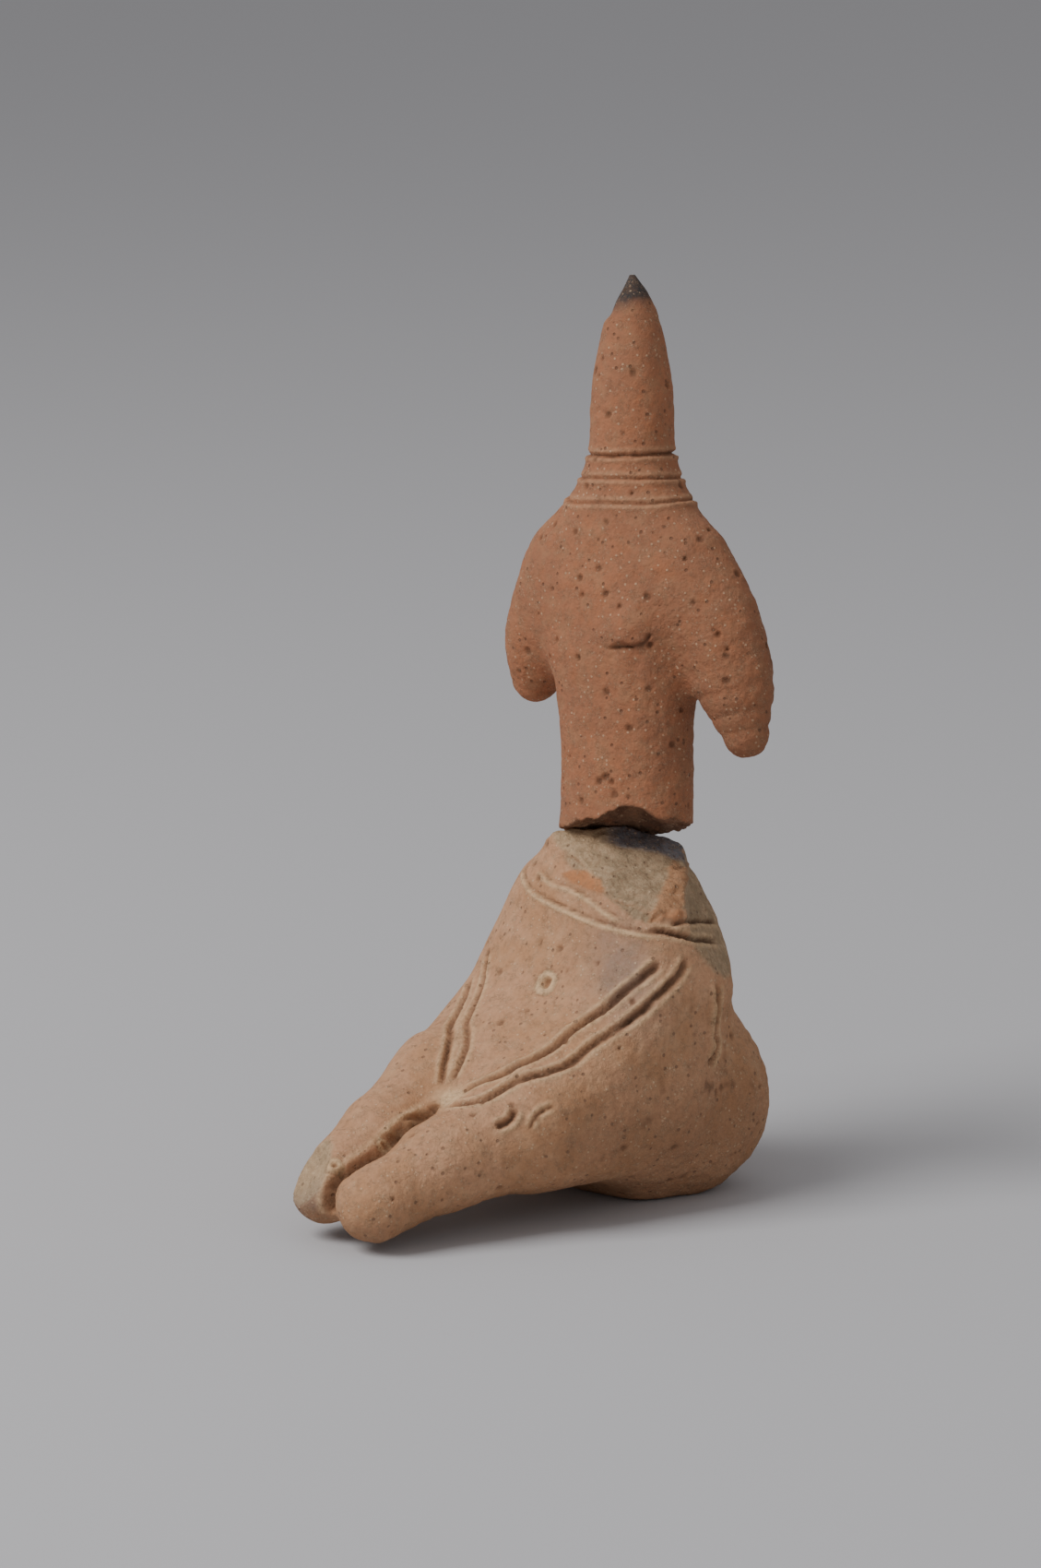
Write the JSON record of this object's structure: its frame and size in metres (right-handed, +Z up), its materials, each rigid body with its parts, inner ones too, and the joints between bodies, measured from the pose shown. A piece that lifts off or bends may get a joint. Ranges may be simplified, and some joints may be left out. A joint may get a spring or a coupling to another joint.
{
  "type": "seated clay figurine",
  "caption": "Seated fired-clay female figurine with a peg head and stub arms, broken across the waist; it sits on its flat seat.",
  "frame": {"origin": "on the ground under the middle of the figurine's bounding box, in the plane of the flat seat", "axes": "+Z up through the head, the figure faces -Y with its legs along -Y, and its left side is +X"},
  "size_m": [0.034, 0.055, 0.0975],
  "materials": {
    "fired_clay": "matt fired clay, sand and chaff tempered",
    "red_clay": "matt fired clay, fired redder"
  },
  "bodies": {
    "root": {"hips_and_legs": "fired_clay", "torso_and_head": "red_clay"}
  },
  "joints": []
}
